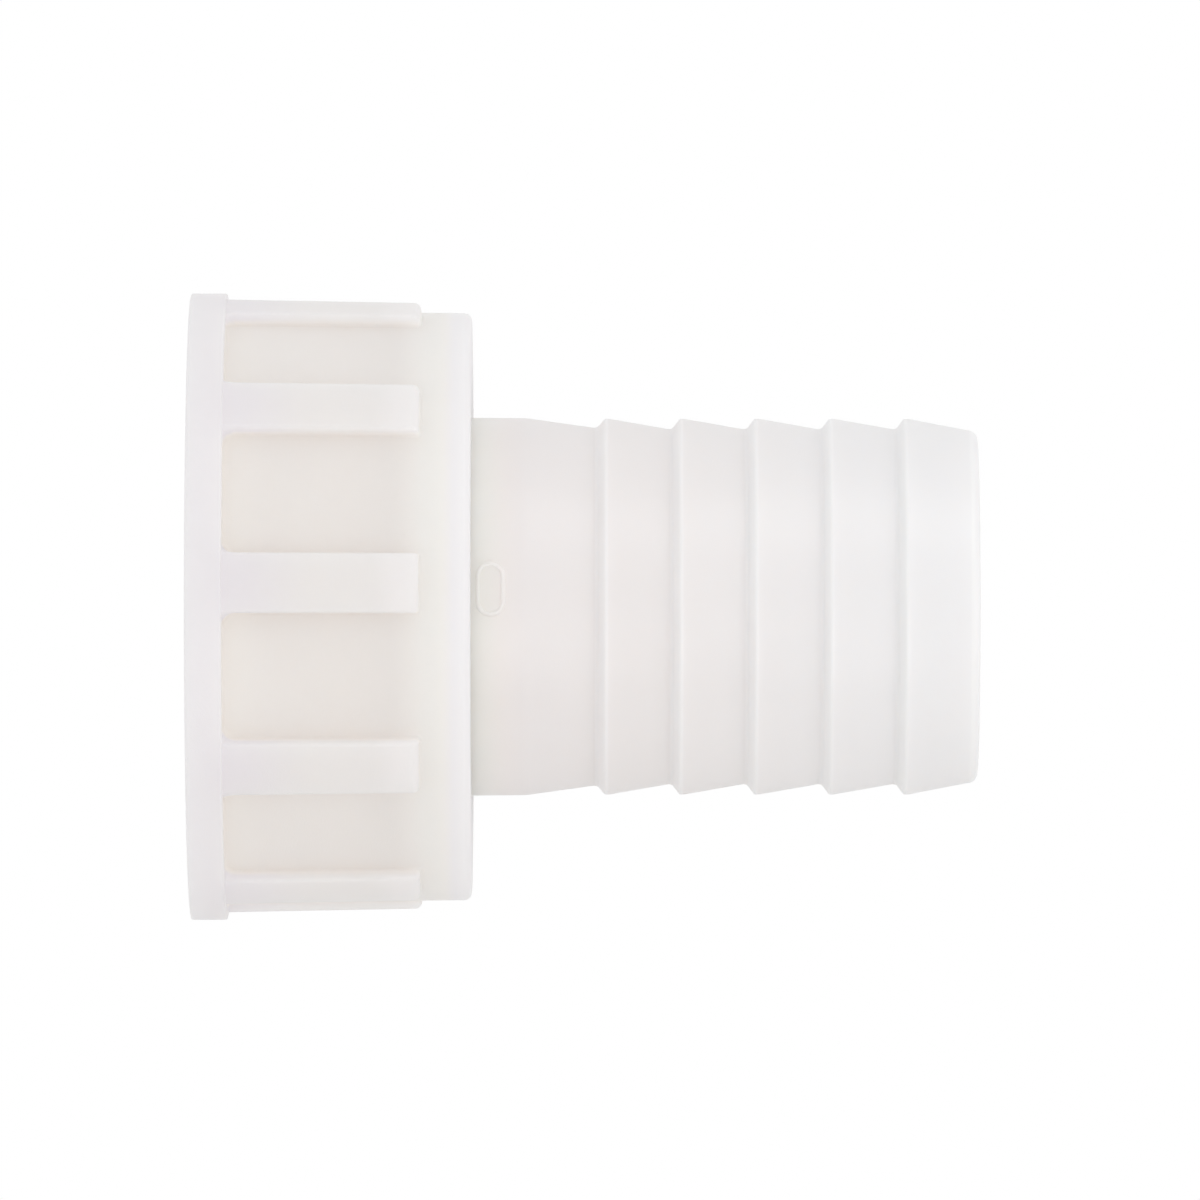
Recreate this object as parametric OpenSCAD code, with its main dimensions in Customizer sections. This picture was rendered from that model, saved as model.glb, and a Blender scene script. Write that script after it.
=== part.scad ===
// Hose tail with a union nut, for a threaded thru-hull stem.
// The common axis is X. The washer's sealing face is at x = 0, the nut's mouth is on the -X side of it
// and the barbed end points along +X. Millimetres.

/* [Hose tail] */
// Diameter over the barb crests, a little more than the hose's bore
barb_d = 31; // [29.6:0.1:31.8]
// Diameter at the roots between the barbs
root_d = 29.2; // [28:0.1:30.4]
// Number of barbs
barb_count = 5; // [3:1:7]
// Distance from one barb crest to the next
barb_pitch = 6.16; // [4:0.01:8]
// Length of the flat land on each crest
crest_land = 0.35; // [0.2:0.05:0.8]
// Diameter of the smooth neck where it meets the cone
neck_d = 31.1; // [30:0.1:31.8]
// Widening of the neck towards the flange, the draft of its mould
neck_draft = 0.1; // [0.02:0.02:0.2]
// Diameter of the cone's small end, just before the first barb
cone_end_d = 29.46; // [28.2:0.02:30.4]
// Diameter of the waterway
bore_d = 25; // [20:0.5:26.5]
// Diameter of the flange that the nut pulls on
flange_d = 38.2; // [34:0.1:38.6]
// Thickness of that flange
flange_t = 3.4; // [2:0.1:5]
// Length of the neck that shows behind the nut
neck_show = 4.45; // [1:0.05:10]
// Length of the cone between the neck and the first barb
cone_len = 5.85; // [3:0.05:10]
// Length of the tip beyond the last barb's crest
tip_len = 6.05; // [3:0.05:10]

/* [Union nut] */
// Depth from the nut's mouth to the washer's sealing face
mouth_depth = 14.3; // [14:0.05:20]
// Diameter of the rim at the mouth
rim_d = 51.65; // [51.2:0.05:56]
// Width of the rim along the axis
rim_w = 3; // [1:0.1:6]
// Diameter between the grip ribs, at the rim
floor_d = 48.9; // [47:0.1:50]
// Diameter of the plain band at the shoulder end
band_d = 48.4; // [46:0.1:49]
// Number of grip ribs
rib_count = 10; // [6:1:14]
// Width of one grip rib
rib_w = 4.95; // [2:0.05:8]
// Diameter over the grip ribs, at the rim
rib_d = 51.12; // [50.2:0.02:51.6]
// Narrowing of that diameter towards the ribs' far end
rib_draft = 0.6; // [0:0.05:1]
// Length of the grip ribs beyond the rim
rib_len = 16; // [8:0.1:17]
// Turn of the first rib up from the horizontal
rib_phase = 4.45; // [0:0.05:36]
// Wall of the shoulder that bears on the flange
shoulder_t = 2.85; // [2:0.05:5]
// Diameter of the hole in the shoulder, which passes over the barbs
shoulder_hole_d = 32.1; // [32:0.05:34]
// Diameter of the recess that holds the washer and the flange
recess_d = 39.6; // [39.5:0.05:42]

/* [Pipe thread] */
// Diameter over the thread's crests, the smallest diameter in the nut
thread_minor_d = 38.95; // [38.9:0.01:39.4]
// Diameter at the thread's roots
thread_major_d = 41.91; // [41:0.01:42.5]
// Distance from one turn to the next, 11 turns to the inch
thread_pitch = 2.309; // [2.2:0.001:2.4]
// Number of turns
thread_turns = 5; // [3:1:5]
// Distance from the mouth to the middle of the first turn
thread_start = 2.6; // [2.5:0.05:2.9]

/* [Washer] */
// Outer diameter of the washer
washer_d = 38; // [34:0.1:38.6]
// Diameter of the washer's hole
washer_hole_d = 27; // [26:0.5:30]
// Thickness of the washer
washer_t = 2.5; // [1.5:0.1:3.5]

/* [Hidden] */
$fn = 96;

// Room left between the washer, the flange and the shoulder, so that each still turns
play = 0.05;
// Half the angle of a pipe thread's profile, and the axial run of one of its flanks
flank_angle = 27.5;
thread_depth = (thread_major_d - thread_minor_d) / 2;
flank_run = thread_depth * tan(flank_angle);
// Flat left on each crest and root
thread_land = (thread_pitch - 2 * flank_run) / 2;

flange_x = washer_t + play;
shoulder_x = flange_x + flange_t + play;
nut_end_x = shoulder_x + shoulder_t;
mouth_x = -mouth_depth;
rim_x = mouth_x + rim_w;
rib_end_x = rim_x + rib_len;

neck_end_x = nut_end_x + neck_show;
cone_end_x = neck_end_x + cone_len;
// Axial run of the steep back of each barb
barb_back = 0.65;
first_crest_x = cone_end_x + barb_back;
last_crest_x = first_crest_x + (barb_count - 1) * barb_pitch;
tip_x = last_crest_x + tip_len;
// Diameter of the tip, a little less than the roots, so that the hose starts easily
tip_d = 28.8;

// Chamfer of the flange and of both ends of the waterway
edge = 0.4;
// Rounding of the nut's shoulder corner, of the tail's tip and of the ribs' far ends
corner_r = 0.6;
tip_r = 0.5;
rib_end_r = 0.75;

natural = [0.93, 0.91, 0.89];
bluish = [0.91, 0.9, 0.91];
rubber = [0.82, 0.81, 0.79];

// Points of a quarter of a circle about [radius, x], from one angle to another
function arc(centre, r, from, to, steps = 6) =
    [for (i = [0 : steps]) let (a = from + (to - from) * i / steps)
        [centre[0] + r * cos(a), centre[1] + r * sin(a)]];

// Turns an outline drawn as [radius, x] about the X axis
module turned(outline) {
    rotate([0, 90, 0])
        rotate_extrude()
            polygon(outline);
}

// The back face, crest and following root of one barb
function barb(x, root_after) = [
    [barb_d / 2, x],
    [barb_d / 2, x + crest_land],
    each root_after ? [[root_d / 2, x + barb_pitch - barb_back]] : []
];

module hose_tail() {
    outline = [
        [bore_d / 2 + edge, flange_x],
        [flange_d / 2 - edge, flange_x],
        [flange_d / 2, flange_x + edge],
        [flange_d / 2, flange_x + flange_t],
        [(neck_d + neck_draft) / 2, flange_x + flange_t],
        [neck_d / 2, neck_end_x],
        [cone_end_d / 2, cone_end_x],
        for (i = [0 : barb_count - 1])
            each barb(first_crest_x + i * barb_pitch, i < barb_count - 1),
        each arc([tip_d / 2 - tip_r, tip_x - tip_r], tip_r, 0, 90),
        [bore_d / 2 + edge, tip_x],
        [bore_d / 2, tip_x - edge],
        [bore_d / 2, flange_x + edge]
    ];
    color(natural)
        turned(outline);
}

// One groove of the thread, as four points of the nut's inner outline
function groove(x) = [
    [thread_minor_d / 2, x - thread_land / 2 - flank_run],
    [thread_major_d / 2, x - thread_land / 2],
    [thread_major_d / 2, x + thread_land / 2],
    [thread_minor_d / 2, x + thread_land / 2 + flank_run]
];

// The nut without its ribs. Its thread is a row of ring grooves of the true profile and pitch
module nut_shell() {
    inner = [
        [thread_major_d / 2, mouth_x],
        [thread_minor_d / 2, mouth_x + thread_depth],
        for (i = [0 : thread_turns - 1])
            each groove(mouth_x + thread_start + i * thread_pitch),
        [thread_minor_d / 2, 0],
        [recess_d / 2, 0],
        [recess_d / 2, shoulder_x],
        [shoulder_hole_d / 2, shoulder_x],
        [shoulder_hole_d / 2, nut_end_x]
    ];
    outer = [
        each arc([band_d / 2 - corner_r, nut_end_x - corner_r], corner_r, 90, 0),
        [floor_d / 2, rim_x],
        [rim_d / 2, rim_x],
        [rim_d / 2, mouth_x]
    ];
    turned(concat(inner, outer));
}

// Straight ribs along the nut, cut from one turned blank so that their tops are round
module grip_ribs() {
    rib_top = rib_d / 2 - rib_draft / 2;
    below_floor = band_d / 2 - 1;
    intersection() {
        turned([
            [below_floor, rim_x - rim_w / 2],
            [rib_d / 2, rim_x - rim_w / 2],
            [rib_d / 2, rim_x],
            each arc([rib_top - rib_end_r, rib_end_x - rib_end_r], rib_end_r, 0, 90),
            [below_floor, rib_end_x]
        ]);
        for (i = [0 : rib_count - 1])
            rotate([90 - rib_phase - i * 360 / rib_count, 0, 0])
                translate([mouth_x, -rib_w / 2, 0])
                    cube([nut_end_x - mouth_x, rib_w, rim_d]);
    }
}

module union_nut() {
    color(bluish)
        union() {
            nut_shell();
            grip_ribs();
        }
}

module sealing_gasket() {
    color(rubber)
        turned([
            [washer_hole_d / 2, 0],
            [washer_d / 2, 0],
            [washer_d / 2, washer_t],
            [washer_hole_d / 2, washer_t]
        ]);
}

hose_tail();
union_nut();
sealing_gasket();
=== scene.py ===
# %% [markdown]
# Hose tail with a union nut, for a threaded thru-hull stem. The real one is two mouldings in natural nylon,
# a barbed tail and a loose nut, with a rubber washer between them inside the nut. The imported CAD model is
# loaded first, because it fixes where each piece is and how it moves. Blender works in metres, so sizes are
# written in millimetres and multiplied by MM. The common axis is X, and x = 0 is the washer's sealing face.

# %% Load the frame
from math import cos, pi, radians, sin

import bmesh
import bpy
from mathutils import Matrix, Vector


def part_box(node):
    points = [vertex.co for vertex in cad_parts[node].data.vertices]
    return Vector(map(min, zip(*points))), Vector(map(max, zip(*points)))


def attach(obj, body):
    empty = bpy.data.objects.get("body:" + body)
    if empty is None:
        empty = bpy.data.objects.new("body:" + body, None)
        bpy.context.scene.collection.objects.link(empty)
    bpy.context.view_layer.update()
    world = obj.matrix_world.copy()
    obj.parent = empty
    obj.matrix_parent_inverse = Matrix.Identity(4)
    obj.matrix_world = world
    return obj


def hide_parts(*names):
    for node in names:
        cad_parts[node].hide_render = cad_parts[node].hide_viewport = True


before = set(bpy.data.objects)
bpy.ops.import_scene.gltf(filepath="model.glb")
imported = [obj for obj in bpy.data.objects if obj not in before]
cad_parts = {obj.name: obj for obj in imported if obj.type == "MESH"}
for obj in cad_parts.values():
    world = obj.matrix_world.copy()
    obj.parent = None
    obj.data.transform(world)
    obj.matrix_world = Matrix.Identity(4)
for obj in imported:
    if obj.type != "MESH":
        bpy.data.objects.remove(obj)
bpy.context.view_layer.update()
MM = 0.001

# %% [markdown]
# A few habits of modelling by hand are kept as helpers: work on one object only, go into edit mode with
# nothing selected, and pick edges or faces by a rule. The CAD nodes come in selected, so `only` clears the
# selection before every step.


# %% Helpers for modelling
def only(obj):
    """Makes obj the one selected and active object."""
    if bpy.context.mode != "OBJECT":
        bpy.ops.object.mode_set(mode="OBJECT")
    bpy.ops.object.select_all(action="DESELECT")
    if obj:
        obj.select_set(True)
        bpy.context.view_layer.objects.active = obj


def edit(obj):
    """Opens obj in edit mode."""
    only(obj)
    bpy.ops.object.mode_set(mode="EDIT")


def leave():
    """Back to object mode."""
    bpy.ops.object.mode_set(mode="OBJECT")


def pick(obj, kind, rule):
    """In edit mode, selects just the verts, edges or faces that the rule accepts, and returns how many."""
    bpy.ops.mesh.select_mode(type={"verts": "VERT", "edges": "EDGE", "faces": "FACE"}[kind])
    bpy.ops.mesh.select_all(action="DESELECT")
    bm = bmesh.from_edit_mesh(obj.data)
    found = [item for item in getattr(bm, kind) if rule(item)]
    for item in found:
        item.select_set(True)
    bmesh.update_edit_mesh(obj.data)
    return len(found)


def apply(obj, name, kind, **settings):
    """Adds a modifier with these settings and applies it."""
    only(obj)
    made = obj.modifiers.new(name, kind)
    for key, value in settings.items():
        setattr(made, key, value)
    bpy.ops.object.modifier_apply(modifier=made.name)


def finish_mesh(obj):
    """Merges doubles, turns the faces outwards and shades the piece as a moulding is: soft over small
    fillets, flat over broad faces."""
    edit(obj)
    bpy.ops.mesh.select_all(action="SELECT")
    bpy.ops.mesh.remove_doubles(threshold=0.0005 * MM)
    bpy.ops.mesh.normals_make_consistent(inside=False)
    leave()
    bpy.ops.object.shade_smooth_by_angle(angle=radians(40))
    apply(obj, "even", "WEIGHTED_NORMAL", keep_sharp=True, weight=100)
    bm = bmesh.new()
    bm.from_mesh(obj.data)
    open_edges = sum(1 for edge in bm.edges if not edge.is_manifold)
    bm.free()
    print(obj.name, "has", len(obj.data.polygons), "faces and", open_edges, "open edges")


# %% [markdown]
# The tail is a turned shape, so it could be spun from a drawn outline or built ring by ring. It is built
# ring by ring here: a circle is added at the first corner of the section, then extruded along X and scaled
# to the next corner, all the way round the section, and the last ring is bridged to the first. Every ring
# then keeps its own edge loop, which is what the bevels need.


# %% Turn a closed section round the X axis
def turned(name, section, around):
    """A closed ring of material round X. The section is a list of (radius, x) in millimetres."""
    only(None)
    radius, x = section[0]
    bpy.ops.mesh.primitive_circle_add(
        vertices=around, radius=radius * MM, location=(x * MM, 0, 0), rotation=(0, pi / 2, 0)
    )
    obj = bpy.context.active_object
    obj.name = name
    bpy.ops.object.transform_apply(location=True, rotation=True, scale=True)
    bpy.ops.object.mode_set(mode="EDIT")
    bpy.ops.mesh.select_mode(type="EDGE")
    bpy.ops.mesh.select_all(action="SELECT")
    for next_radius, next_x in section[1:]:
        bpy.ops.mesh.extrude_region_move(TRANSFORM_OT_translate={"value": ((next_x - x) * MM, 0, 0)})
        if next_radius != radius:
            grow = next_radius / radius
            bpy.ops.transform.resize(value=(1, grow, grow), center_override=(next_x * MM, 0, 0))
        radius, x = next_radius, next_x
    bpy.ops.mesh.select_all(action="DESELECT")
    bpy.ops.mesh.select_non_manifold(extend=False)
    bpy.ops.mesh.bridge_edge_loops()
    bpy.ops.mesh.select_all(action="SELECT")
    bpy.ops.mesh.normals_make_consistent(inside=False)
    leave()
    return obj


def near(a, b):
    """Whether two places or lengths are the same, given in metres."""
    return abs(a - b) < 0.002 * MM


def round_rings(obj, corners, width, segments):
    """Rounds or fillets the rings of edges at these (radius, x) corners."""

    def lies_at(edge, radius, x):
        return all(near(Vector(v.co.yz).length, radius * MM) and near(v.co.x, x * MM) for v in edge.verts)

    edit(obj)
    found = pick(obj, "edges", lambda edge: any(lies_at(edge, *corner) for corner in corners))
    bpy.ops.mesh.bevel(offset=width * MM, segments=segments, affect="EDGES", clamp_overlap=False)
    leave()
    print(f"  {obj.name}: {found} edges rounded to {width} mm")


# %% [markdown]
# The boxes of the CAD's nodes give the tail's flange face, its tip and the flange's radius, so those are
# read from the frame. The barbs are saw teeth. Each has a steep back that stops the hose from sliding off,
# a narrow crest and a long front that lets it slide on.

# %% Section of the hose tail
tail_low, tail_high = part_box("hose_tail")
nut_low, nut_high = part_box("union_nut")
FLANGE_X, TIP_X = tail_low[0] / MM, tail_high[0] / MM
FLANGE_R = tail_high[2] / MM
MOUTH_X, NUT_END_X = nut_low[0] / MM, nut_high[0] / MM
FLANGE_T = 3.4
NECK_R = 15.55
NECK_START_R = NECK_R + 0.05
CREST_R = 15.5
ROOT_R = 14.6
TIP_R = 14.4
BORE_R = 12.5
BARBS = 5
PITCH = 6.16
LAND = 0.35
BACK = 0.65
TIP_LENGTH = 6.05
CONE_LENGTH = 5.85
FIRST_CREST_X = TIP_X - TIP_LENGTH - (BARBS - 1) * PITCH
CONE_END = (14.73, FIRST_CREST_X - BACK)
NECK_END = (NECK_R, CONE_END[1] - CONE_LENGTH)
crests = [FIRST_CREST_X + i * PITCH for i in range(BARBS)]
section = [(BORE_R, FLANGE_X), (FLANGE_R, FLANGE_X), (FLANGE_R, FLANGE_X + FLANGE_T)]
section += [(NECK_START_R, FLANGE_X + FLANGE_T), NECK_END, CONE_END]
for x in crests:
    section += [(CREST_R, x), (CREST_R, x + LAND)]
    if x != crests[-1]:
        section += [(ROOT_R, x + PITCH - BACK)]
section += [(TIP_R, TIP_X), (BORE_R, TIP_X)]
print("barb crests at x =", [round(x, 2) for x in crests])

# %% Turn the tail and round its corners
tail = turned("hose_tail_moulding", section, 192)
round_rings(tail, [(FLANGE_R, FLANGE_X), (FLANGE_R, FLANGE_X + FLANGE_T)], 0.4, 3)
round_rings(tail, [(BORE_R, FLANGE_X), (BORE_R, TIP_X)], 0.5, 3)
round_rings(tail, [(TIP_R, TIP_X)], 0.6, 5)
round_rings(tail, [(NECK_START_R, FLANGE_X + FLANGE_T)], 0.5, 3)
round_rings(tail, [NECK_END], 0.35, 3)
round_rings(tail, [(CREST_R, x) for x in crests] + [(CREST_R, x + LAND) for x in crests], 0.13, 3)
round_rings(tail, [CONE_END] + [(ROOT_R, x - BACK) for x in crests[1:]], 0.3, 4)

# %% [markdown]
# Close to the nut, the neck carries a small raised mark. A plain oval ring stands for it here. It starts as
# a torus lying flat. Its two halves are pulled apart to make the oval, and Simple Deform bends it round the
# neck before a Boolean welds it on, so that it is part of the same moulding.

# %% Raised mark on the neck
# Its place along the axis and how far up it is turned, then the radius of the oval's ends, half the width of
# its line, how deep that line is sunk, and how far each half is pulled out.
MARK_X = 10.45
MARK_TURN = radians(5.4)
MARK_R = NECK_R + 0.02
END_R = 1.03
LINE_R = 0.22
SUNK = 0.09
STRETCH = 1.05
mark_z = MARK_R * MARK_TURN * MM
only(None)
bpy.ops.mesh.primitive_torus_add(
    major_segments=64, minor_segments=16, major_radius=END_R * MM, minor_radius=LINE_R * MM,
    location=(MARK_X * MM, SUNK * MM, mark_z), rotation=(pi / 2, 0, 0),
)
mark = bpy.context.active_object
bpy.ops.object.transform_apply(location=True, rotation=True, scale=True)
edit(mark)
for way in (1, -1):
    pick(mark, "verts", lambda v: (v.co.z - mark_z) * way > 0.01 * MM)
    bpy.ops.transform.translate(value=(0, 0, way * STRETCH * MM))
leave()
# The deform spreads its angle over the whole length of the mark.
round_the_neck = 2 * (STRETCH + END_R + LINE_R) / MARK_R
apply(mark, "round the neck", "SIMPLE_DEFORM", deform_method="BEND", deform_axis="X", angle=round_the_neck)
edit(mark)
bpy.ops.mesh.select_all(action="SELECT")
bpy.ops.transform.translate(value=(0, -MARK_R * MM, 0))
leave()
highest = max(Vector(v.co.yz).length for v in mark.data.vertices) / MM
print(f"the mark stands {highest - MARK_R:.3f} mm above the neck")
apply(tail, "weld", "BOOLEAN", operation="UNION", solver="EXACT", object=mark)
only(mark)
bpy.ops.object.delete()
finish_mesh(tail)
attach(tail, "tail")
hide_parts("hose_tail")

# %% [markdown]
# The nut is harder, because its ten grip ribs stand on a round body and every corner between them has its
# own fillet. Cut in the round, each fillet would run over curved faces. So one tenth of the nut is modelled
# flat, as if the wall were unrolled: X stays the axis, Z is the way round, and outwards is -Y. Corners are
# rounded while the faces are still flat, then the strip is cut into narrow staves, repeated ten times and
# bent into a ring with the Simple Deform modifier. At height h above the strip's zero, the bent wall has
# radius BODY_R + h.

# %% Sizes of the union nut
RIBS = 10
BODY_R = 24.45
RIB_R = 25.56
RIM_R = -nut_low[2] / MM
RIM_X = MOUTH_X + 3.0
RIB_END_X = RIM_X + 16.0
RIB_TOP = RIB_R - BODY_R
RIM_STEP = RIM_R - RIB_R
RIB_WIDTH = 4.95
RIB_WIDTH_R = 25.4
RIB_DRAFT = 0.3
BODY_DRAFT = 0.25
HOLE_R = 16.05
PLAY = 0.05
SEAT_X = FLANGE_X + FLANGE_T + PLAY
RECESS_R = 19.8
CREST_BORE_R = 19.475
THREAD_R = 20.955
tenth = 2 * pi * BODY_R / RIBS
# The bend widens what stands proud, so the rib is narrower while flat, and has its width at RIB_WIDTH_R.
rib_half = RIB_WIDTH / 2 * BODY_R / RIB_WIDTH_R
print(f"one tenth is {tenth:.3f} mm wide, its rib {2 * rib_half:.3f} mm")


# %% One tenth of the nut, in the flat
def cut(at, along):
    """Cuts the selected faces with a plane, as a knife drawn across them."""
    bpy.ops.mesh.bisect(plane_co=at, plane_no=along, threshold=0.0001 * MM)


only(None)
bpy.ops.mesh.primitive_plane_add(
    size=1, location=((MOUTH_X + NUT_END_X) / 2 * MM, 0, 0), rotation=(pi / 2, 0, 0)
)
nut = bpy.context.active_object
nut.name = "union_nut_moulding"
nut.scale = ((NUT_END_X - MOUTH_X) * MM, tenth * MM, 1)
bpy.ops.object.transform_apply(location=True, rotation=True, scale=True)
edit(nut)
for x in (RIM_X, RIB_END_X):
    bpy.ops.mesh.select_all(action="SELECT")
    cut((x * MM, 0, 0), (1, 0, 0))
for z in (-rib_half, rib_half):
    pick(nut, "faces", lambda f: RIM_X * MM < f.calc_center_median().x < RIB_END_X * MM)
    cut((0, 0, z * MM), (0, 0, 1))
print("flat strip cut into", len(bmesh.from_edit_mesh(nut.data).faces), "faces")


# %% Raise the rib and the rim
def in_rim(face):
    """Whether a face lies in the rim's width."""
    return face.calc_center_median().x < RIM_X * MM


def in_rib(face):
    """Whether a face lies in the rib's length and width."""
    middle = face.calc_center_median()
    return RIM_X * MM < middle.x < RIB_END_X * MM and abs(middle.z) < rib_half * MM


top = -RIB_TOP * MM
side = tenth / 2 * MM
pick(nut, "faces", lambda f: in_rim(f) or in_rib(f))
bpy.ops.mesh.extrude_region_move(TRANSFORM_OT_translate={"value": (0, top, 0)})
pick(nut, "faces", lambda f: in_rim(f) and near(f.calc_center_median().y, top) and abs(f.normal.y) > 0.9)
bpy.ops.mesh.extrude_region_move(TRANSFORM_OT_translate={"value": (0, -RIM_STEP * MM, 0)})
pick(nut, "faces", lambda f: near(abs(f.calc_center_median().z), side))
bpy.ops.mesh.delete(type="FACE")
print(f"the rib stands {RIB_TOP:.2f} mm proud, and the rim {RIB_TOP + RIM_STEP:.2f} mm")

# %% Give the wall its draft, so that it would leave the mould
for height, x, drop in (
    (top, RIB_END_X, RIB_DRAFT),
    (0.0, RIB_END_X, BODY_DRAFT * (RIB_END_X - RIM_X) / (NUT_END_X - RIM_X)),
    (0.0, NUT_END_X, BODY_DRAFT),
):
    pick(nut, "verts", lambda v: near(v.co.x, x * MM) and near(v.co.y, height))
    bpy.ops.transform.translate(value=(0, drop * MM, 0))


# %% Take out the cuts that would disturb the bevels
def seam(edge):
    """A cut left in a flat face: in the rim's wall, or across the floor beside a rib's far end."""
    ends = [v.co for v in edge.verts]
    reach = max(abs(c.z) for c in ends)
    if all(near(c.x, RIB_END_X * MM) for c in ends):
        return reach > side / 2
    if not all(near(c.x, RIM_X * MM) and c.y < top + 0.01 * MM for c in ends):
        return False
    upright_cut = near(ends[0].z, ends[1].z) and reach < side / 2
    beside_rib = near(ends[0].y, top) and near(ends[1].y, top) and reach > side / 2
    return upright_cut or beside_rib


print("cuts taken out:", pick(nut, "edges", seam))
bpy.ops.mesh.dissolve_edges(use_verts=True)

# %% [markdown]
# Where a pocket meets the rim, its corners are rounded in plan. The pocket's floor then gets a small fillet
# all round, and the ribs' outer edges are rounded off, most of all at their far ends. A sharp inner corner
# would crack, and a sharp outer one would hurt the hand that tightens the nut.


# %% Round the corners of the pockets and ribs
def upright(edge):
    """The inner corner where a rib's flank meets the rim."""
    ends = [v.co for v in edge.verts]
    standing = all(near(c.x, RIM_X * MM) and near(abs(c.z), rib_half * MM) for c in ends)
    return standing and near(ends[0].z, ends[1].z)


def bevel(rule, width, segments, what):
    """Rounds the edges of the nut that the rule picks."""
    found = pick(nut, "edges", rule)
    bpy.ops.mesh.bevel(offset=width * MM, segments=segments, affect="EDGES", clamp_overlap=False)
    print(f"  {what}: {found} edges rounded to {width} mm")


def corner(edge):
    """The angle between an edge's faces: above 0 on an outer corner and below 0 in an inner one."""
    return edge.calc_face_angle_signed(0.0) if len(edge.link_faces) == 2 else 0.0


def heights(edge):
    """How high the edge's lower and upper ends stand above the strip's zero, in millimetres."""
    return sorted(-v.co.y / MM for v in edge.verts)


def far_edge(edge):
    """The top edge of a rib's far end."""
    return all(near(v.co.x, RIB_END_X * MM) for v in edge.verts) and heights(edge)[0] > 0.5


def foot(edge):
    """The inner corner round a pocket's floor."""
    return heights(edge)[1] < 0.05 and corner(edge) < -0.7


def rib_edge(edge):
    """The outer corners of a rib: along its top, down its far end and round the fills beside the rim."""
    return heights(edge)[1] < RIB_TOP + 0.01 and corner(edge) > 0.7


def rim_edge(edge):
    """The outer corners at the rim's top."""
    return heights(edge)[0] > RIB_TOP + RIM_STEP - 0.01 and corner(edge) > 0.7


bevel(upright, 1.2, 6, "pocket corners")
bevel(far_edge, 0.6, 4, "rib's far end")
bevel(rib_edge, 0.25, 3, "rib's edges")
bevel(foot, 0.25, 3, "foot of the rib")
bevel(rim_edge, 0.2, 3, "rim's edges")

# %% [markdown]
# The rest of the wall is the nut's inside, and it has the same section all the way round. The open edge at
# the mouth is extruded along that section, corner by corner: down the mouth face, in along the chamfer that
# starts the thread, along the bore, out into the recess that holds the washer and the tail's flange, in
# across the shoulder that pulls on the flange, and out through the hole that the barbs pass. The last edge
# is joined to the open edge at the other end of the strip.


# %% Extrude the inside of the wall
def at_corner(radius, x):
    """A rule for the edges that run round the nut at this radius and x."""

    def rule(edge):
        return all(near(v.co.x, x * MM) and near(v.co.y, (BODY_R - radius) * MM) for v in edge.verts)

    return rule


inside = [(BODY_R, MOUTH_X), (THREAD_R, MOUTH_X), (CREST_BORE_R, MOUTH_X + THREAD_R - CREST_BORE_R)]
inside += [(CREST_BORE_R, 0.0), (RECESS_R, 0.0), (RECESS_R, SEAT_X), (HOLE_R, SEAT_X), (HOLE_R, NUT_END_X)]
print("edges at the mouth:", pick(nut, "edges", at_corner(*inside[0])))
for (radius, x), (next_radius, next_x) in zip(inside, inside[1:]):
    step = ((next_x - x) * MM, (radius - next_radius) * MM, 0)
    bpy.ops.mesh.extrude_region_move(TRANSFORM_OT_translate={"value": step})
outer_end, inner_end = at_corner(BODY_R - BODY_DRAFT, NUT_END_X), at_corner(HOLE_R, NUT_END_X)
print("edges to join:", pick(nut, "edges", lambda e: outer_end(e) or inner_end(e)))
bpy.ops.mesh.edge_face_add()
bevel(outer_end, 0.65, 5, "shoulder's outer corner")
bevel(inner_end, 0.4, 3, "hole's outer edge")
bevel(at_corner(HOLE_R, SEAT_X), 0.3, 3, "hole's inner edge")
bevel(at_corner(RECESS_R, SEAT_X), 0.3, 3, "recess's corner")
bevel(at_corner(CREST_BORE_R, 0.0), 0.12, 2, "step behind the thread")
bevel(at_corner(THREAD_R, MOUTH_X), 0.2, 3, "mouth's edge")

# %% [markdown]
# Now the strip is cut into narrow staves, because a bend only moves the corners that a mesh has. An Array
# modifier repeats it ten times, end to end, and Simple Deform bends the whole row through a full turn.

# %% Cut into staves, repeat and bend into a ring
STAVES = 30
first_rib = radians(4.45)
for i in range(1, STAVES):
    bpy.ops.mesh.select_all(action="SELECT")
    cut((0, 0, (i / STAVES * 2 - 1) * side), (0, 0, 1))
bpy.ops.mesh.select_all(action="SELECT")
bpy.ops.mesh.normals_make_consistent(inside=False)
leave()
apply(
    nut, "tenths", "ARRAY", count=RIBS, use_relative_offset=False, use_constant_offset=True,
    constant_offset_displace=(0, 0, tenth * MM), use_merge_vertices=True, merge_threshold=0.001 * MM,
)
edit(nut)
bpy.ops.mesh.select_all(action="SELECT")
bpy.ops.transform.translate(value=(0, 0, BODY_R * MM * first_rib))
leave()
apply(nut, "ring", "SIMPLE_DEFORM", deform_method="BEND", deform_axis="X", angle=2 * pi)
edit(nut)
bpy.ops.mesh.select_all(action="SELECT")
bpy.ops.transform.translate(value=(0, -BODY_R * MM, 0))
bpy.ops.mesh.remove_doubles(threshold=0.001 * MM)
leave()
print("the ring has", len(nut.data.polygons), "faces")

# %% [markdown]
# The pipe thread is cut last, in the round, as a tap would cut it. The cutter is one groove's outline,
# swept by the Screw modifier through six turns of a right-hand helix. The end of the last turn is drawn in a
# little at a time, so that the groove runs out before the recess. A Boolean then takes the cutter out of the
# nut's wall.

# %% Outline of the cutter
THREAD_PITCH = 2.309
TURNS = 6
STEPS = 120
ROOT_LAND = 0.385
THREAD_END_X = -2.35
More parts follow.
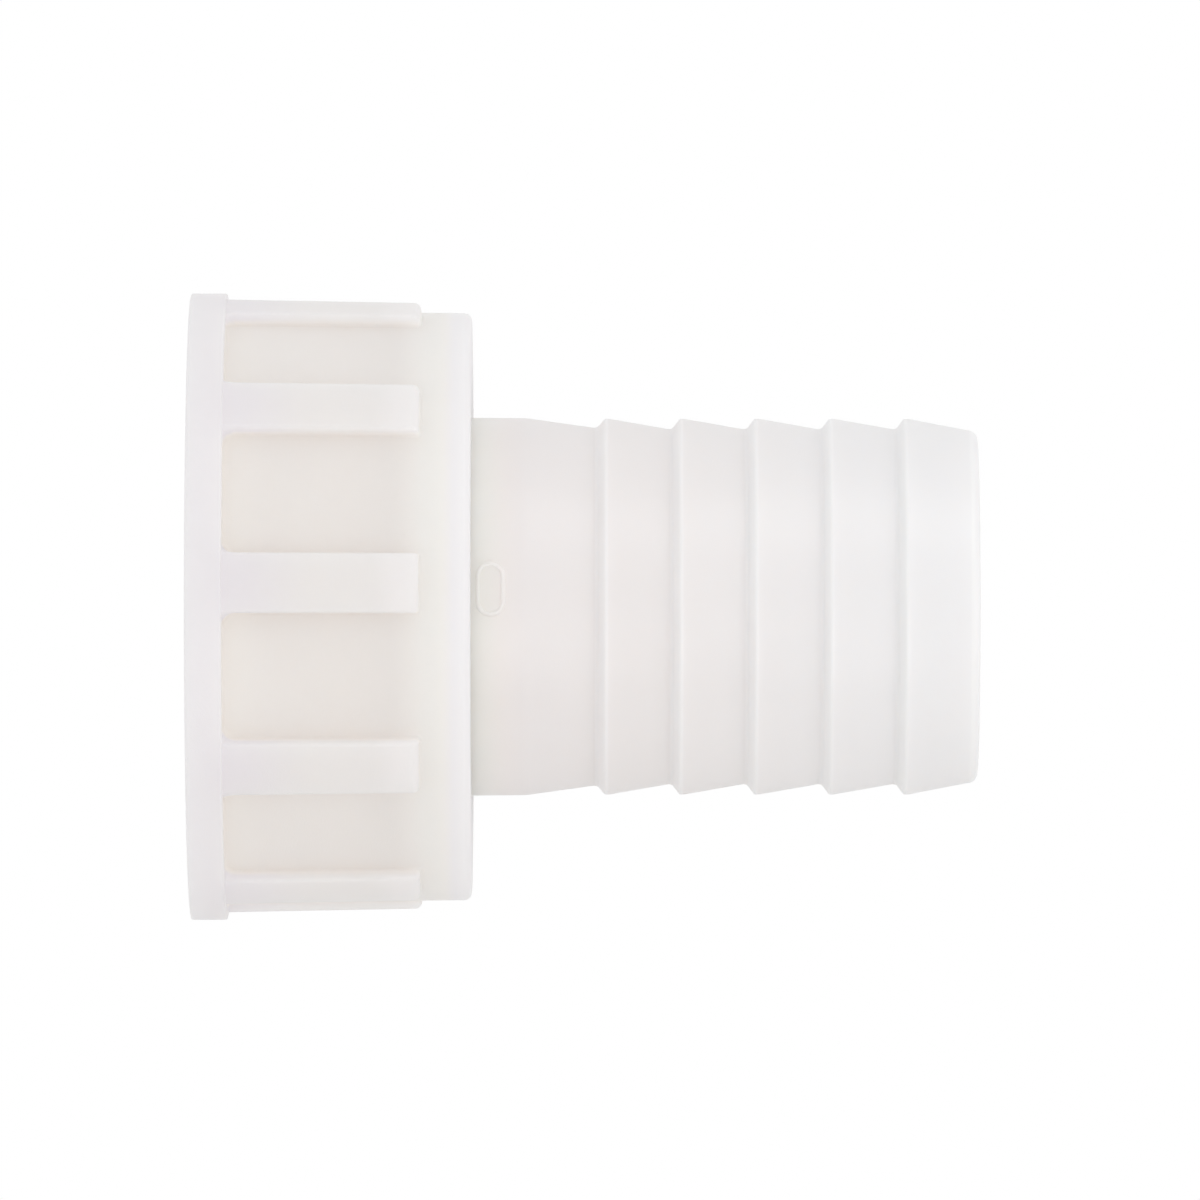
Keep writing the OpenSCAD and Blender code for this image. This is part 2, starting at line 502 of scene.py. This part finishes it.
# The flanks run from the root's land almost to the bore. From there the cutter flares, to break the crests.
flank_r = CREST_BORE_R + 0.085
inner_r = CREST_BORE_R - 0.225
only(None)
bpy.ops.mesh.primitive_plane_add(
    size=1,
    location=((THREAD_END_X - TURNS * THREAD_PITCH) * MM, 0, (THREAD_R + inner_r) / 2 * MM),
    rotation=(pi / 2, 0, 0),
)
cutter = bpy.context.active_object
cutter.scale = (ROOT_LAND * MM, (THREAD_R - inner_r) * MM, 1)
bpy.ops.object.transform_apply(location=True, rotation=True, scale=True)
edit(cutter)
bpy.ops.mesh.select_all(action="SELECT")
cut((0, 0, flank_r * MM), (0, 0, 1))
for radius, half_width in ((flank_r, 0.92), (inner_r, 1.1)):
    pick(cutter, "verts", lambda v: near(v.co.z, radius * MM))
    bpy.ops.transform.resize(value=(half_width / (ROOT_LAND / 2), 1, 1))
pick(cutter, "edges", lambda e: len(e.link_faces) == 2)
bpy.ops.mesh.dissolve_edges(use_verts=False)
pick(cutter, "verts", lambda v: v.co.z > (inner_r + 0.01) * MM)
bpy.ops.mesh.bevel(offset=0.16 * MM, segments=3, affect="VERTICES")
bpy.ops.mesh.select_all(action="SELECT")
bpy.ops.mesh.delete(type="ONLY_FACE")
leave()
outline_points = len(cutter.data.vertices)
print("the groove's outline has", outline_points, "points")

# %% Sweep the cutter and cut the thread
apply(
    cutter, "helix", "SCREW", axis="X", angle=2 * pi, screw_offset=THREAD_PITCH * MM, iterations=TURNS,
    steps=STEPS, render_steps=STEPS, use_smooth_shade=False,
)
edit(cutter)
RUN_OUT = 14
clear_r = inner_r + 0.12
shallow = 1 - clear_r / THREAD_R
for i in range(RUN_OUT):
    ring = TURNS * STEPS - RUN_OUT + 1 + i
    first = ring * outline_points
    pick(cutter, "verts", lambda v: first <= v.index < first + outline_points)
    drawn_in = 1 - shallow * ((i + 1) / RUN_OUT) ** 2
    bpy.ops.transform.resize(value=(1, drawn_in, drawn_in), center_override=(0, 0, 0))
bpy.ops.mesh.select_all(action="SELECT")
bpy.ops.mesh.fill_holes(sides=0)
bpy.ops.mesh.select_all(action="SELECT")
bpy.ops.mesh.normals_make_consistent(inside=False)
leave()
print("cutter has", len(cutter.data.vertices), "vertices")
apply(nut, "thread", "BOOLEAN", operation="DIFFERENCE", solver="EXACT", object=cutter)
only(cutter)
bpy.ops.object.delete()
finish_mesh(nut)
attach(nut, "nut")
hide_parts("union_nut")

# %% [markdown]
# The washer is punched from sheet rubber, so it is a flat ring with barely broken edges. The nut squeezes
# it between the tail's flange and the end of the stem, and that makes the joint watertight.

# %% Turn the washer
washer_low, washer_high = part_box("sealing_gasket")
WASHER_R = 19.0
WASHER_T = (washer_high[0] - washer_low[0]) / MM
WASHER_HOLE_R = 13.5
strip = [(WASHER_HOLE_R, 0.0), (WASHER_R, 0.0), (WASHER_R, WASHER_T), (WASHER_HOLE_R, WASHER_T)]
washer = turned("sealing_washer", strip, 128)
round_rings(washer, strip, 0.15, 2)
finish_mesh(washer)
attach(washer, "washer")
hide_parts("sealing_gasket")

# %% [markdown]
# ## Nylon
# Natural nylon is milky. Light goes a few millimetres into it and comes out again, so it needs Subsurface:
# the wall glows where it is thin and looks warmer where it is thick. The colour itself still has to say so,
# because not every program that shows the part can scatter light inside it. Three node groups are shared by
# the materials: the grain that a mould leaves, a soft cloudiness, and a smooth step, by which one tint
# fades into the next along the wall.


# %% Node helpers
def new_group(name, inputs, outputs):
    """An empty shader node group. Inputs and outputs are {name: (kind, default)}."""
    group = bpy.data.node_groups.new(name, "ShaderNodeTree")
    for label, (kind, default) in inputs.items():
        socket = group.interface.new_socket(label, in_out="INPUT", socket_type="NodeSocket" + kind)
        if default is not None:
            socket.default_value = default
    for label, (kind, default) in outputs.items():
        group.interface.new_socket(label, in_out="OUTPUT", socket_type="NodeSocket" + kind)
    return group, group.nodes.new("NodeGroupInput"), group.nodes.new("NodeGroupOutput")


def node(tree, kind, **settings):
    """Adds a node. A setting sets an attribute or, if there is none of that name, an input socket."""
    made = tree.nodes.new("ShaderNode" + kind)
    for key, value in settings.items():
        if hasattr(made, key):
            setattr(made, key, value)
        else:
            made.inputs[key].default_value = value
    return made


def calc(tree, operation, a, b=None, c=None):
    """A Math node. Each operand is a number or an output socket, and its result is returned."""
    made = node(tree, "Math", operation=operation)
    for socket, operand in zip(made.inputs, (a, b, c)):
        if operand is None:
            continue
        if isinstance(operand, (int, float)):
            socket.default_value = operand
        else:
            tree.links.new(operand, socket)
    return made.outputs[0]


def mix_colour(tree, factor, a, b, blend="MIX"):
    """A Mix node for colours. Each of a and b is a colour or an output socket."""
    made = node(tree, "Mix", data_type="RGBA", blend_type=blend)
    for socket, operand in zip((made.inputs[0], made.inputs[6], made.inputs[7]), (factor, a, b)):
        if isinstance(operand, (int, float, tuple)):
            socket.default_value = operand
        else:
            tree.links.new(operand, socket)
    return made.outputs[2]


# %% Grain of the mould
def grain_group():
    """Fine pits all over, as an eroded steel mould leaves them, and a little unevenness of gloss."""
    group, given, result = new_group(
        "mould_grain",
        {"Place": ("Vector", None), "Grain per metre": ("Float", 9000.0), "Roughness": ("Float", 0.4)},
        {"Height": ("Float", None), "Roughness": ("Float", None)},
    )
    pits = node(group, "TexNoise", Detail=2.0, Roughness=0.6)
    group.links.new(given.outputs["Place"], pits.inputs["Vector"])
    group.links.new(given.outputs["Grain per metre"], pits.inputs["Scale"])
    group.links.new(pits.outputs["Fac"], result.inputs["Height"])
    wear = node(group, "TexNoise", Scale=180.0, Detail=3.0)
    group.links.new(given.outputs["Place"], wear.inputs["Vector"])
    sway = calc(group, "MULTIPLY_ADD", wear.outputs["Fac"], 0.1, -0.05)
    group.links.new(calc(group, "ADD", given.outputs["Roughness"], sway), result.inputs["Roughness"])
    return group


# %% Milky cloudiness, and a smooth step between tints
def cloud_group():
    """Soft clouds in the nylon: lightens and darkens a colour by a very little."""
    group, given, result = new_group(
        "milky_clouds",
        {"Place": ("Vector", None), "Color": ("Color", (0.8, 0.8, 0.8, 1)), "Strength": ("Float", 0.04)},
        {"Color": ("Color", None)},
    )
    soft = node(group, "TexNoise", Scale=90.0, Detail=2.0, Roughness=0.45)
    group.links.new(given.outputs["Place"], soft.inputs["Vector"])
    centred = calc(group, "SUBTRACT", soft.outputs["Fac"], 0.5)
    amount = calc(group, "MULTIPLY_ADD", centred, given.outputs["Strength"], 1.0)
    spread = node(group, "CombineColor")
    for channel in spread.inputs:
        group.links.new(amount, channel)
    tinted = mix_colour(group, 1.0, given.outputs["Color"], spread.outputs["Color"], "MULTIPLY")
    group.links.new(tinted, result.inputs["Color"])
    return group


def ramp_group():
    """A mask that rises from 0 to 1 between two values."""
    group, given, result = new_group(
        "smooth_step",
        {"Value": ("Float", 0.0), "From": ("Float", 0.0), "To": ("Float", 1.0)},
        {"Mask": ("Float", None)},
    )
    step = node(group, "MapRange", interpolation_type="SMOOTHSTEP")
    for ours, theirs in (("Value", "Value"), ("From", "From Min"), ("To", "From Max")):
        group.links.new(given.outputs[ours], step.inputs[theirs])
    group.links.new(step.outputs["Result"], result.inputs["Mask"])
    return group


mould_grain = grain_group()
milky_clouds = cloud_group()
smooth_step = ramp_group()
print("node groups:", [group.name for group in bpy.data.node_groups])


# %% Start of every material
def srgb(red, green, blue):
    """A colour given as on a screen, from 0 to 255, turned into the linear values that nodes want."""
    return tuple(((c / 255 + 0.055) / 1.055) ** 2.4 for c in (red, green, blue)) + (1.0,)


class Finish:
    """A material being built: its tree, its shader, and each point's place, given in metres, with its
    distance along the axis and its radius, both in millimetres."""

    def __init__(self, name):
        self.material = bpy.data.materials.new(name)
        self.material.use_nodes = True
        self.tree = self.material.node_tree
        self.shader = self.tree.nodes["Principled BSDF"]
        self.place = node(self.tree, "TexCoord").outputs["Object"]
        split = node(self.tree, "SeparateXYZ")
        self.tree.links.new(self.place, split.inputs[0])
        self.along = calc(self.tree, "MULTIPLY", split.outputs["X"], 1 / MM)
        across = calc(self.tree, "POWER", split.outputs["Y"], 2.0)
        up = calc(self.tree, "POWER", split.outputs["Z"], 2.0)
        from_axis = calc(self.tree, "SQRT", calc(self.tree, "ADD", across, up))
        self.radius = calc(self.tree, "MULTIPLY", from_axis, 1 / MM)

    def use(self, group, **inputs):
        """Places a node group. Each input is a value or an output socket."""
        made = node(self.tree, "Group", node_tree=group)
        for key, value in inputs.items():
            socket = made.inputs[key.replace("_", " ")]
            if isinstance(value, bpy.types.NodeSocket):
                self.tree.links.new(value, socket)
            else:
                socket.default_value = value
        return made

    def step(self, value, start, end):
        """A mask that is 0 where value is at start and 1 where it is at end, in millimetres."""
        if start < end:
            return self.use(smooth_step, Value=value, From=start, To=end).outputs["Mask"]
        rising = self.use(smooth_step, Value=value, From=end, To=start).outputs["Mask"]
        return calc(self.tree, "SUBTRACT", 1.0, rising)

    def band(self, value, start, full, fade, end):
        """A mask that rises between the first two values and falls between the last two."""
        return calc(self.tree, "MULTIPLY", self.step(value, start, full), self.step(value, end, fade))

    def blend(self, mask, below, above, strength=1.0):
        """One colour over another, by a mask."""
        return mix_colour(self.tree, calc(self.tree, "MULTIPLY", mask, strength), below, above)

    def surface(self, colour, grain, roughness, depth):
        """Joins the colour, the grain's bump and the uneven gloss to the shader. The grain is in pits to the
        metre, and their depth is in millimetres."""
        clouds = self.use(milky_clouds, Place=self.place, Color=colour)
        self.tree.links.new(clouds.outputs["Color"], self.shader.inputs["Base Color"])
        pits = self.use(mould_grain, Place=self.place, Grain_per_metre=grain, Roughness=roughness)
        bump = node(self.tree, "Bump", Strength=1.0, Distance=depth * MM)
        self.tree.links.new(pits.outputs["Height"], bump.inputs["Height"])
        self.tree.links.new(bump.outputs["Normal"], self.shader.inputs["Normal"])
        self.tree.links.new(pits.outputs["Roughness"], self.shader.inputs["Roughness"])
        print(self.material.name, "has", len(self.tree.nodes), "nodes")

    def scatter(self, reach, specular):
        """Lets light into the wall, a little further for red than for blue."""
        self.shader.inputs["Subsurface Weight"].default_value = 1.0
        self.shader.inputs["Subsurface Radius"].default_value = (1.0, 0.97, 0.94)
        self.shader.inputs["Subsurface Scale"].default_value = reach * MM
        self.shader.inputs["IOR"].default_value = 1.53
        self.shader.inputs["Specular IOR Level"].default_value = specular


# %% [markdown]
# The nut's own colour is the warm floor of the pockets and the ribs' near-white. The rest is painted light.
# The rim and the start of the ribs have a bluish painted glow of light through the nylon, and the ribs' far
# ends a lighter one. The plain band past the ribs is painted as the lightest part, and the shoulder's edge
# is painted bluish again. Beside the rim, the pockets' floor is painted lighter to cancel the shade in that
# corner. Each painted tint is laid over the last by a mask that follows the axis or the radius.

# %% Nylon of the nut
nut_finish = Finish("nut_nylon")
# WARM and RIB are the nylon's own colour. The others are painted light: a lighter floor beside the rim
# against the corner's shade, and a painted glow of light through the nylon at the rim, the rib's ends, the
# band past the ribs and the shoulder's edge.
WARM = srgb(239, 233, 229)
RIM_CORNER_PAINTED_LIGHT = srgb(242, 236, 231)
RIM = srgb(233, 229, 232)
RIB = srgb(237, 233, 231)
RIB_END = srgb(242, 237, 236)
BAND_GLOW = srgb(248, 241, 236)
SHOULDER_EDGE_GLOW = srgb(241, 237, 239)
along = nut_finish.along
# Masks for where the painted light and glow go, and one for the ribs' own colour.
light_by_rim_mask = nut_finish.step(along, RIM_X + 4.0, RIM_X + 0.5)
on_band = nut_finish.step(along, RIB_END_X - 2.5, RIB_END_X + 0.5)
on_rib = nut_finish.step(nut_finish.radius, BODY_R + 0.05, BODY_R + 0.6)
rib_start_glow = nut_finish.step(along, RIM_X + 8.0, RIM_X + 1.0)
rib_end_glow = nut_finish.step(along, RIB_END_X - 4.0, RIB_END_X - 1.5)
at_shoulder = nut_finish.step(along, NUT_END_X - 2.4, NUT_END_X - 1.2)
colour = nut_finish.blend(light_by_rim_mask, WARM, RIM_CORNER_PAINTED_LIGHT)
colour = nut_finish.blend(on_band, colour, BAND_GLOW)
rib_colour = nut_finish.blend(rib_start_glow, RIB, RIM)
rib_colour = nut_finish.blend(rib_end_glow, rib_colour, RIB_END)
colour = nut_finish.blend(on_rib, colour, rib_colour)
colour = nut_finish.blend(at_shoulder, colour, SHOULDER_EDGE_GLOW)
nut_finish.surface(colour, grain=7000.0, roughness=0.42, depth=0.012)
nut_finish.scatter(reach=7.0, specular=0.3)
nut.data.materials.append(nut_finish.material)

# %% [markdown]
# The tail's own colour is a warm cream. Beside the nut, where its neck is thickest, it is warm, as thick
# nylon is, and it is painted lighter to cancel the shade that the nut casts there. Towards the tip it is
# painted cooler and lighter, as a glow of light through the thinner wall. Each barb's steep back and crest
# get a painted highlight, lighter than its long front, for the light that comes through the thin edge. The
# barbs repeat at one pitch, so one mask serves all: the remainder of the distance along, divided by the
# pitch, says how far each point is past the start of its own barb.

# %% Nylon of the tail
tail_finish = Finish("tail_nylon")
# The neck's colour is warm nylon painted lighter against the nut's shade. The tip's colour is a painted
# glow, and CREST is a painted highlight.
WARM_NECK_PAINTED_LIGHT = srgb(254, 247, 240)
CREAM = srgb(241, 237, 236)
TIP_GLOW = srgb(244, 243, 244)
CREST = srgb(250, 248, 248)
tree, along = tail_finish.tree, tail_finish.along
colour = tail_finish.blend(tail_finish.step(along, NUT_END_X - 1.0, NUT_END_X + 5.0), WARM_NECK_PAINTED_LIGHT, CREAM)
colour = tail_finish.blend(tail_finish.step(along, crests[0], TIP_X), colour, TIP_GLOW)
# Mask for the painted highlight on each barb's steep back and crest.
barbs_start = crests[0] - 1.0
within = calc(tree, "FLOORED_MODULO", calc(tree, "SUBTRACT", along, barbs_start), PITCH)
steep_back = tail_finish.band(within, 0.05, 0.3, 1.15, 1.35)
outside = tail_finish.step(tail_finish.radius, ROOT_R - 0.3, ROOT_R - 0.1)
past_cone = tail_finish.step(along, barbs_start, barbs_start + 0.2)
crest_highlight_mask = calc(tree, "MULTIPLY", calc(tree, "MULTIPLY", steep_back, outside), past_cone)
colour = tail_finish.blend(crest_highlight_mask, colour, CREST, strength=0.55)
tail_finish.surface(colour, grain=8000.0, roughness=0.34, depth=0.006)
tail_finish.scatter(reach=1.0, specular=0.7)
tail.data.materials.append(tail_finish.material)

# %% [markdown]
# The washer is pale rubber. It could share the nylon's recipe, but no light goes through it, so it gets a
# rougher surface with a coarser grain and no scattering. Its rim is a shade darker, as an edge that is
# handled is.

# %% Rubber of the washer
rubber = Finish("washer_rubber")
FACE = srgb(205, 202, 196)
EDGE = srgb(196, 192, 185)
colour = rubber.blend(rubber.step(rubber.radius, WASHER_R - 1.2, WASHER_R), FACE, EDGE)
rubber.surface(colour, grain=4500.0, roughness=0.72, depth=0.03)
washer.data.materials.append(rubber.material)

# %% [markdown]
# ## Floor, light and camera
# The floor is a plain pale sheet that lies far below the part, so that no shadow falls near it. The light
# is a bright tent all round, a little darker from below, with three soft boxes in it. The key stands in
# front, above and to the right, and gives the soft gleam on every barb's front, because those fronts slope
# towards it. The fill stands in front and a little lower, and keeps the underside light. The side box
# lights the barbed end.

# %% Floor
FLOOR_Z = -0.9
only(None)
bpy.ops.mesh.primitive_plane_add(size=6.0, location=(0, 0, FLOOR_Z))
floor = bpy.context.active_object
floor.name = "floor"
floor_finish = bpy.data.materials.new("pale_floor")
floor_finish.use_nodes = True
tree = floor_finish.node_tree
shader = tree.nodes["Principled BSDF"]
WHITE = (1, 1, 1, 1)
PALE = (0.86, 0.85, 0.84, 1)
shader.inputs["Base Color"].default_value = PALE
shader.inputs["Roughness"].default_value = 0.9
seen = node(tree, "LightPath").outputs["Is Camera Ray"]
shader.inputs["Emission Color"].default_value = WHITE
tree.links.new(seen, shader.inputs["Emission Strength"])
floor.data.materials.append(floor_finish)
print("the floor lies at z =", FLOOR_Z, "m")

# %% Light
BELOW = 0.82
ABOVE = 0.86
world = bpy.data.worlds.new("tent")
bpy.context.scene.world = world
world.use_nodes = True
tree = world.node_tree
sky = tree.nodes["Background"]
height = node(tree, "SeparateXYZ")
tree.links.new(node(tree, "TexCoord").outputs["Generated"], height.inputs[0])
rise = node(tree, "MapRange")
rise.inputs["From Min"].default_value = -1.0
rise.inputs["To Min"].default_value = BELOW
rise.inputs["To Max"].default_value = ABOVE
tree.links.new(height.outputs["Z"], rise.inputs["Value"])
seen = node(tree, "LightPath").outputs["Is Camera Ray"]
tree.links.new(calc(tree, "MAXIMUM", rise.outputs["Result"], seen), sky.inputs["Strength"])
sky.inputs["Color"].default_value = WHITE


def soft_box(name, azimuth, elevation, distance, width, height, power):
    """A rectangular light that faces the part. Azimuth 0 is the camera's side and 90 is +X, in degrees."""
    data = bpy.data.lights.new(name, "AREA")
    data.shape = "RECTANGLE"
    data.size = width
    data.size_y = height
    data.energy = power
    lamp = bpy.data.objects.new(name, data)
    bpy.context.scene.collection.objects.link(lamp)
    turn, lift = radians(azimuth), radians(elevation)
    target = Vector(((MOUTH_X + TIP_X) / 2 * MM, 0, 0))
    away = distance * Vector((cos(lift) * sin(turn), -cos(lift) * cos(turn), sin(lift)))
    lamp.location = target + away
    lamp.rotation_euler = away.to_track_quat("Z", "Y").to_euler()
    print(f"{name}: {width} by {height} m, {distance} m away")


soft_box("key", azimuth=32, elevation=50, distance=0.9, width=0.42, height=0.55, power=0.5)
soft_box("fill", azimuth=0, elevation=-25, distance=0.95, width=0.65, height=0.65, power=1.0)
soft_box("side", azimuth=70, elevation=-5, distance=1.3, width=0.8, height=0.8, power=1.2)

# %% [markdown]
# The camera stands level with the part, square to its axis, and looks along +Y. It is far off with a very
# long lens, so the barbs and the ribs show almost without perspective.

# %% Camera
DISTANCE = 1.39
AIM_X = 0.0194
AIM_Z = 0.00055
LENS = 505.5
camera = bpy.data.objects.new("camera", bpy.data.cameras.new("camera"))
bpy.context.scene.collection.objects.link(camera)
camera.location = (AIM_X, -DISTANCE, AIM_Z)
camera.rotation_euler = (pi / 2, 0, 0)
camera.data.lens = LENS
camera.data.sensor_width = 36
bpy.context.scene.camera = camera
bpy.context.scene.view_settings.view_transform = "Standard"
print(f"camera {DISTANCE} m away, with a lens of {LENS} mm")
